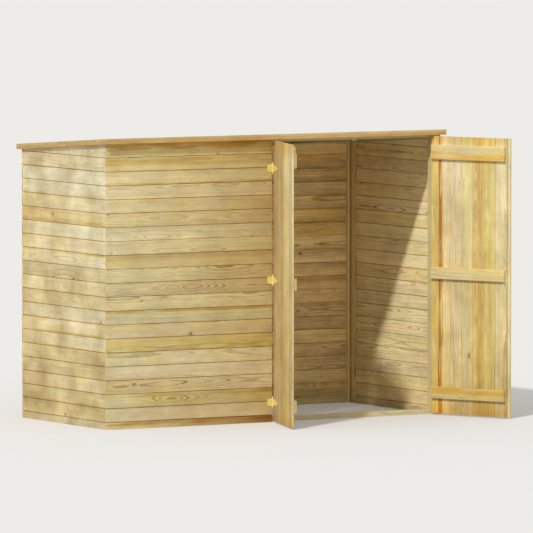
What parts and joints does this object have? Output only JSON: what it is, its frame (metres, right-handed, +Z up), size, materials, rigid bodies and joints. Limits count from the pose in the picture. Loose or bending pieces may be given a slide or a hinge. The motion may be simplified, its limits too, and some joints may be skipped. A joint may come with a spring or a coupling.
{
  "type": "timber bike shelter with double doors",
  "caption": "Timber bike shelter, a low shed of tongue-and-groove boards with a lean-to roof, a closed front panel and a pair of hinged, ledged doors.",
  "frame": {"origin": "under the door sill, on its centre line, in the middle of the building's width", "axes": "+X along the width towards the doors' side, +Y from the front to the back, +Z up"},
  "size_m": [2.4774, 1.5915, 1.704],
  "materials": {
    "wall_boards": "pressure-treated pine, planed",
    "door_boards": "pressure-treated pine, planed",
    "door_battens": "pressure-treated pine, planed",
    "frame_timber": "pressure-treated pine, planed",
    "roof_boards": "pressure-treated pine, planed",
    "roof_edge_strips": "pressure-treated pine, planed",
    "hinge_metal": "yellow zinc plated steel, satin",
    "bolt_metal": "zinc plated steel, satin"
  },
  "bodies": {
    "root": {"front_wall_boards": "wall_boards", "left_wall_boards": "wall_boards", "right_wall_boards": "wall_boards", "back_wall_boards_left": "wall_boards", "back_wall_boards_right": "wall_boards", "front_wall_studs": "frame_timber", "front_wall_rails": "frame_timber", "left_wall_studs": "frame_timber", "left_wall_rails": "frame_timber", "right_wall_stud": "frame_timber", "right_wall_rails": "frame_timber", "right_front_post": "frame_timber", "back_wall_studs_left": "frame_timber", "back_wall_rails_left": "frame_timber", "back_wall_studs_right": "frame_timber", "back_wall_rails_right": "frame_timber", "door_sill": "frame_timber", "door_head": "frame_timber", "roof_boards_left": "roof_boards", "roof_boards_right": "roof_boards", "roof_rafters": "frame_timber", "roof_edge_front": "roof_edge_strips", "roof_edge_back": "roof_edge_strips", "roof_edge_left": "roof_edge_strips", "roof_edge_right": "roof_edge_strips", "left_hinge_wall_leaves": "hinge_metal", "right_hinge_wall_leaves": "hinge_metal"},
    "left_door": {"left_door_boards": "door_boards", "left_door_top_ledge": "door_battens", "left_door_middle_ledge": "door_battens", "left_door_bottom_ledge": "door_battens", "left_door_hinge_leaves": "hinge_metal", "left_door_bolt": "bolt_metal"},
    "right_door": {"right_door_boards": "door_boards", "right_door_top_ledge": "door_battens", "right_door_middle_ledge": "door_battens", "right_door_bottom_ledge": "door_battens", "right_door_hinge_leaves": "hinge_metal", "right_door_cover_strip": "door_battens"}
  },
  "joints": [
    {"name": "left_door_swing", "type": "hinge", "parent": "root", "child": "left_door", "pos_m": [-0.0195, -0.0395, 0.84], "axis": [0, 0, 1], "range_deg": [-66, 109]},
    {"name": "right_door_swing", "type": "hinge", "parent": "root", "child": "right_door", "pos_m": [1.0855, -0.0395, 0.84], "axis": [0, 0, 1], "range_deg": [-113, 62]}
  ]
}
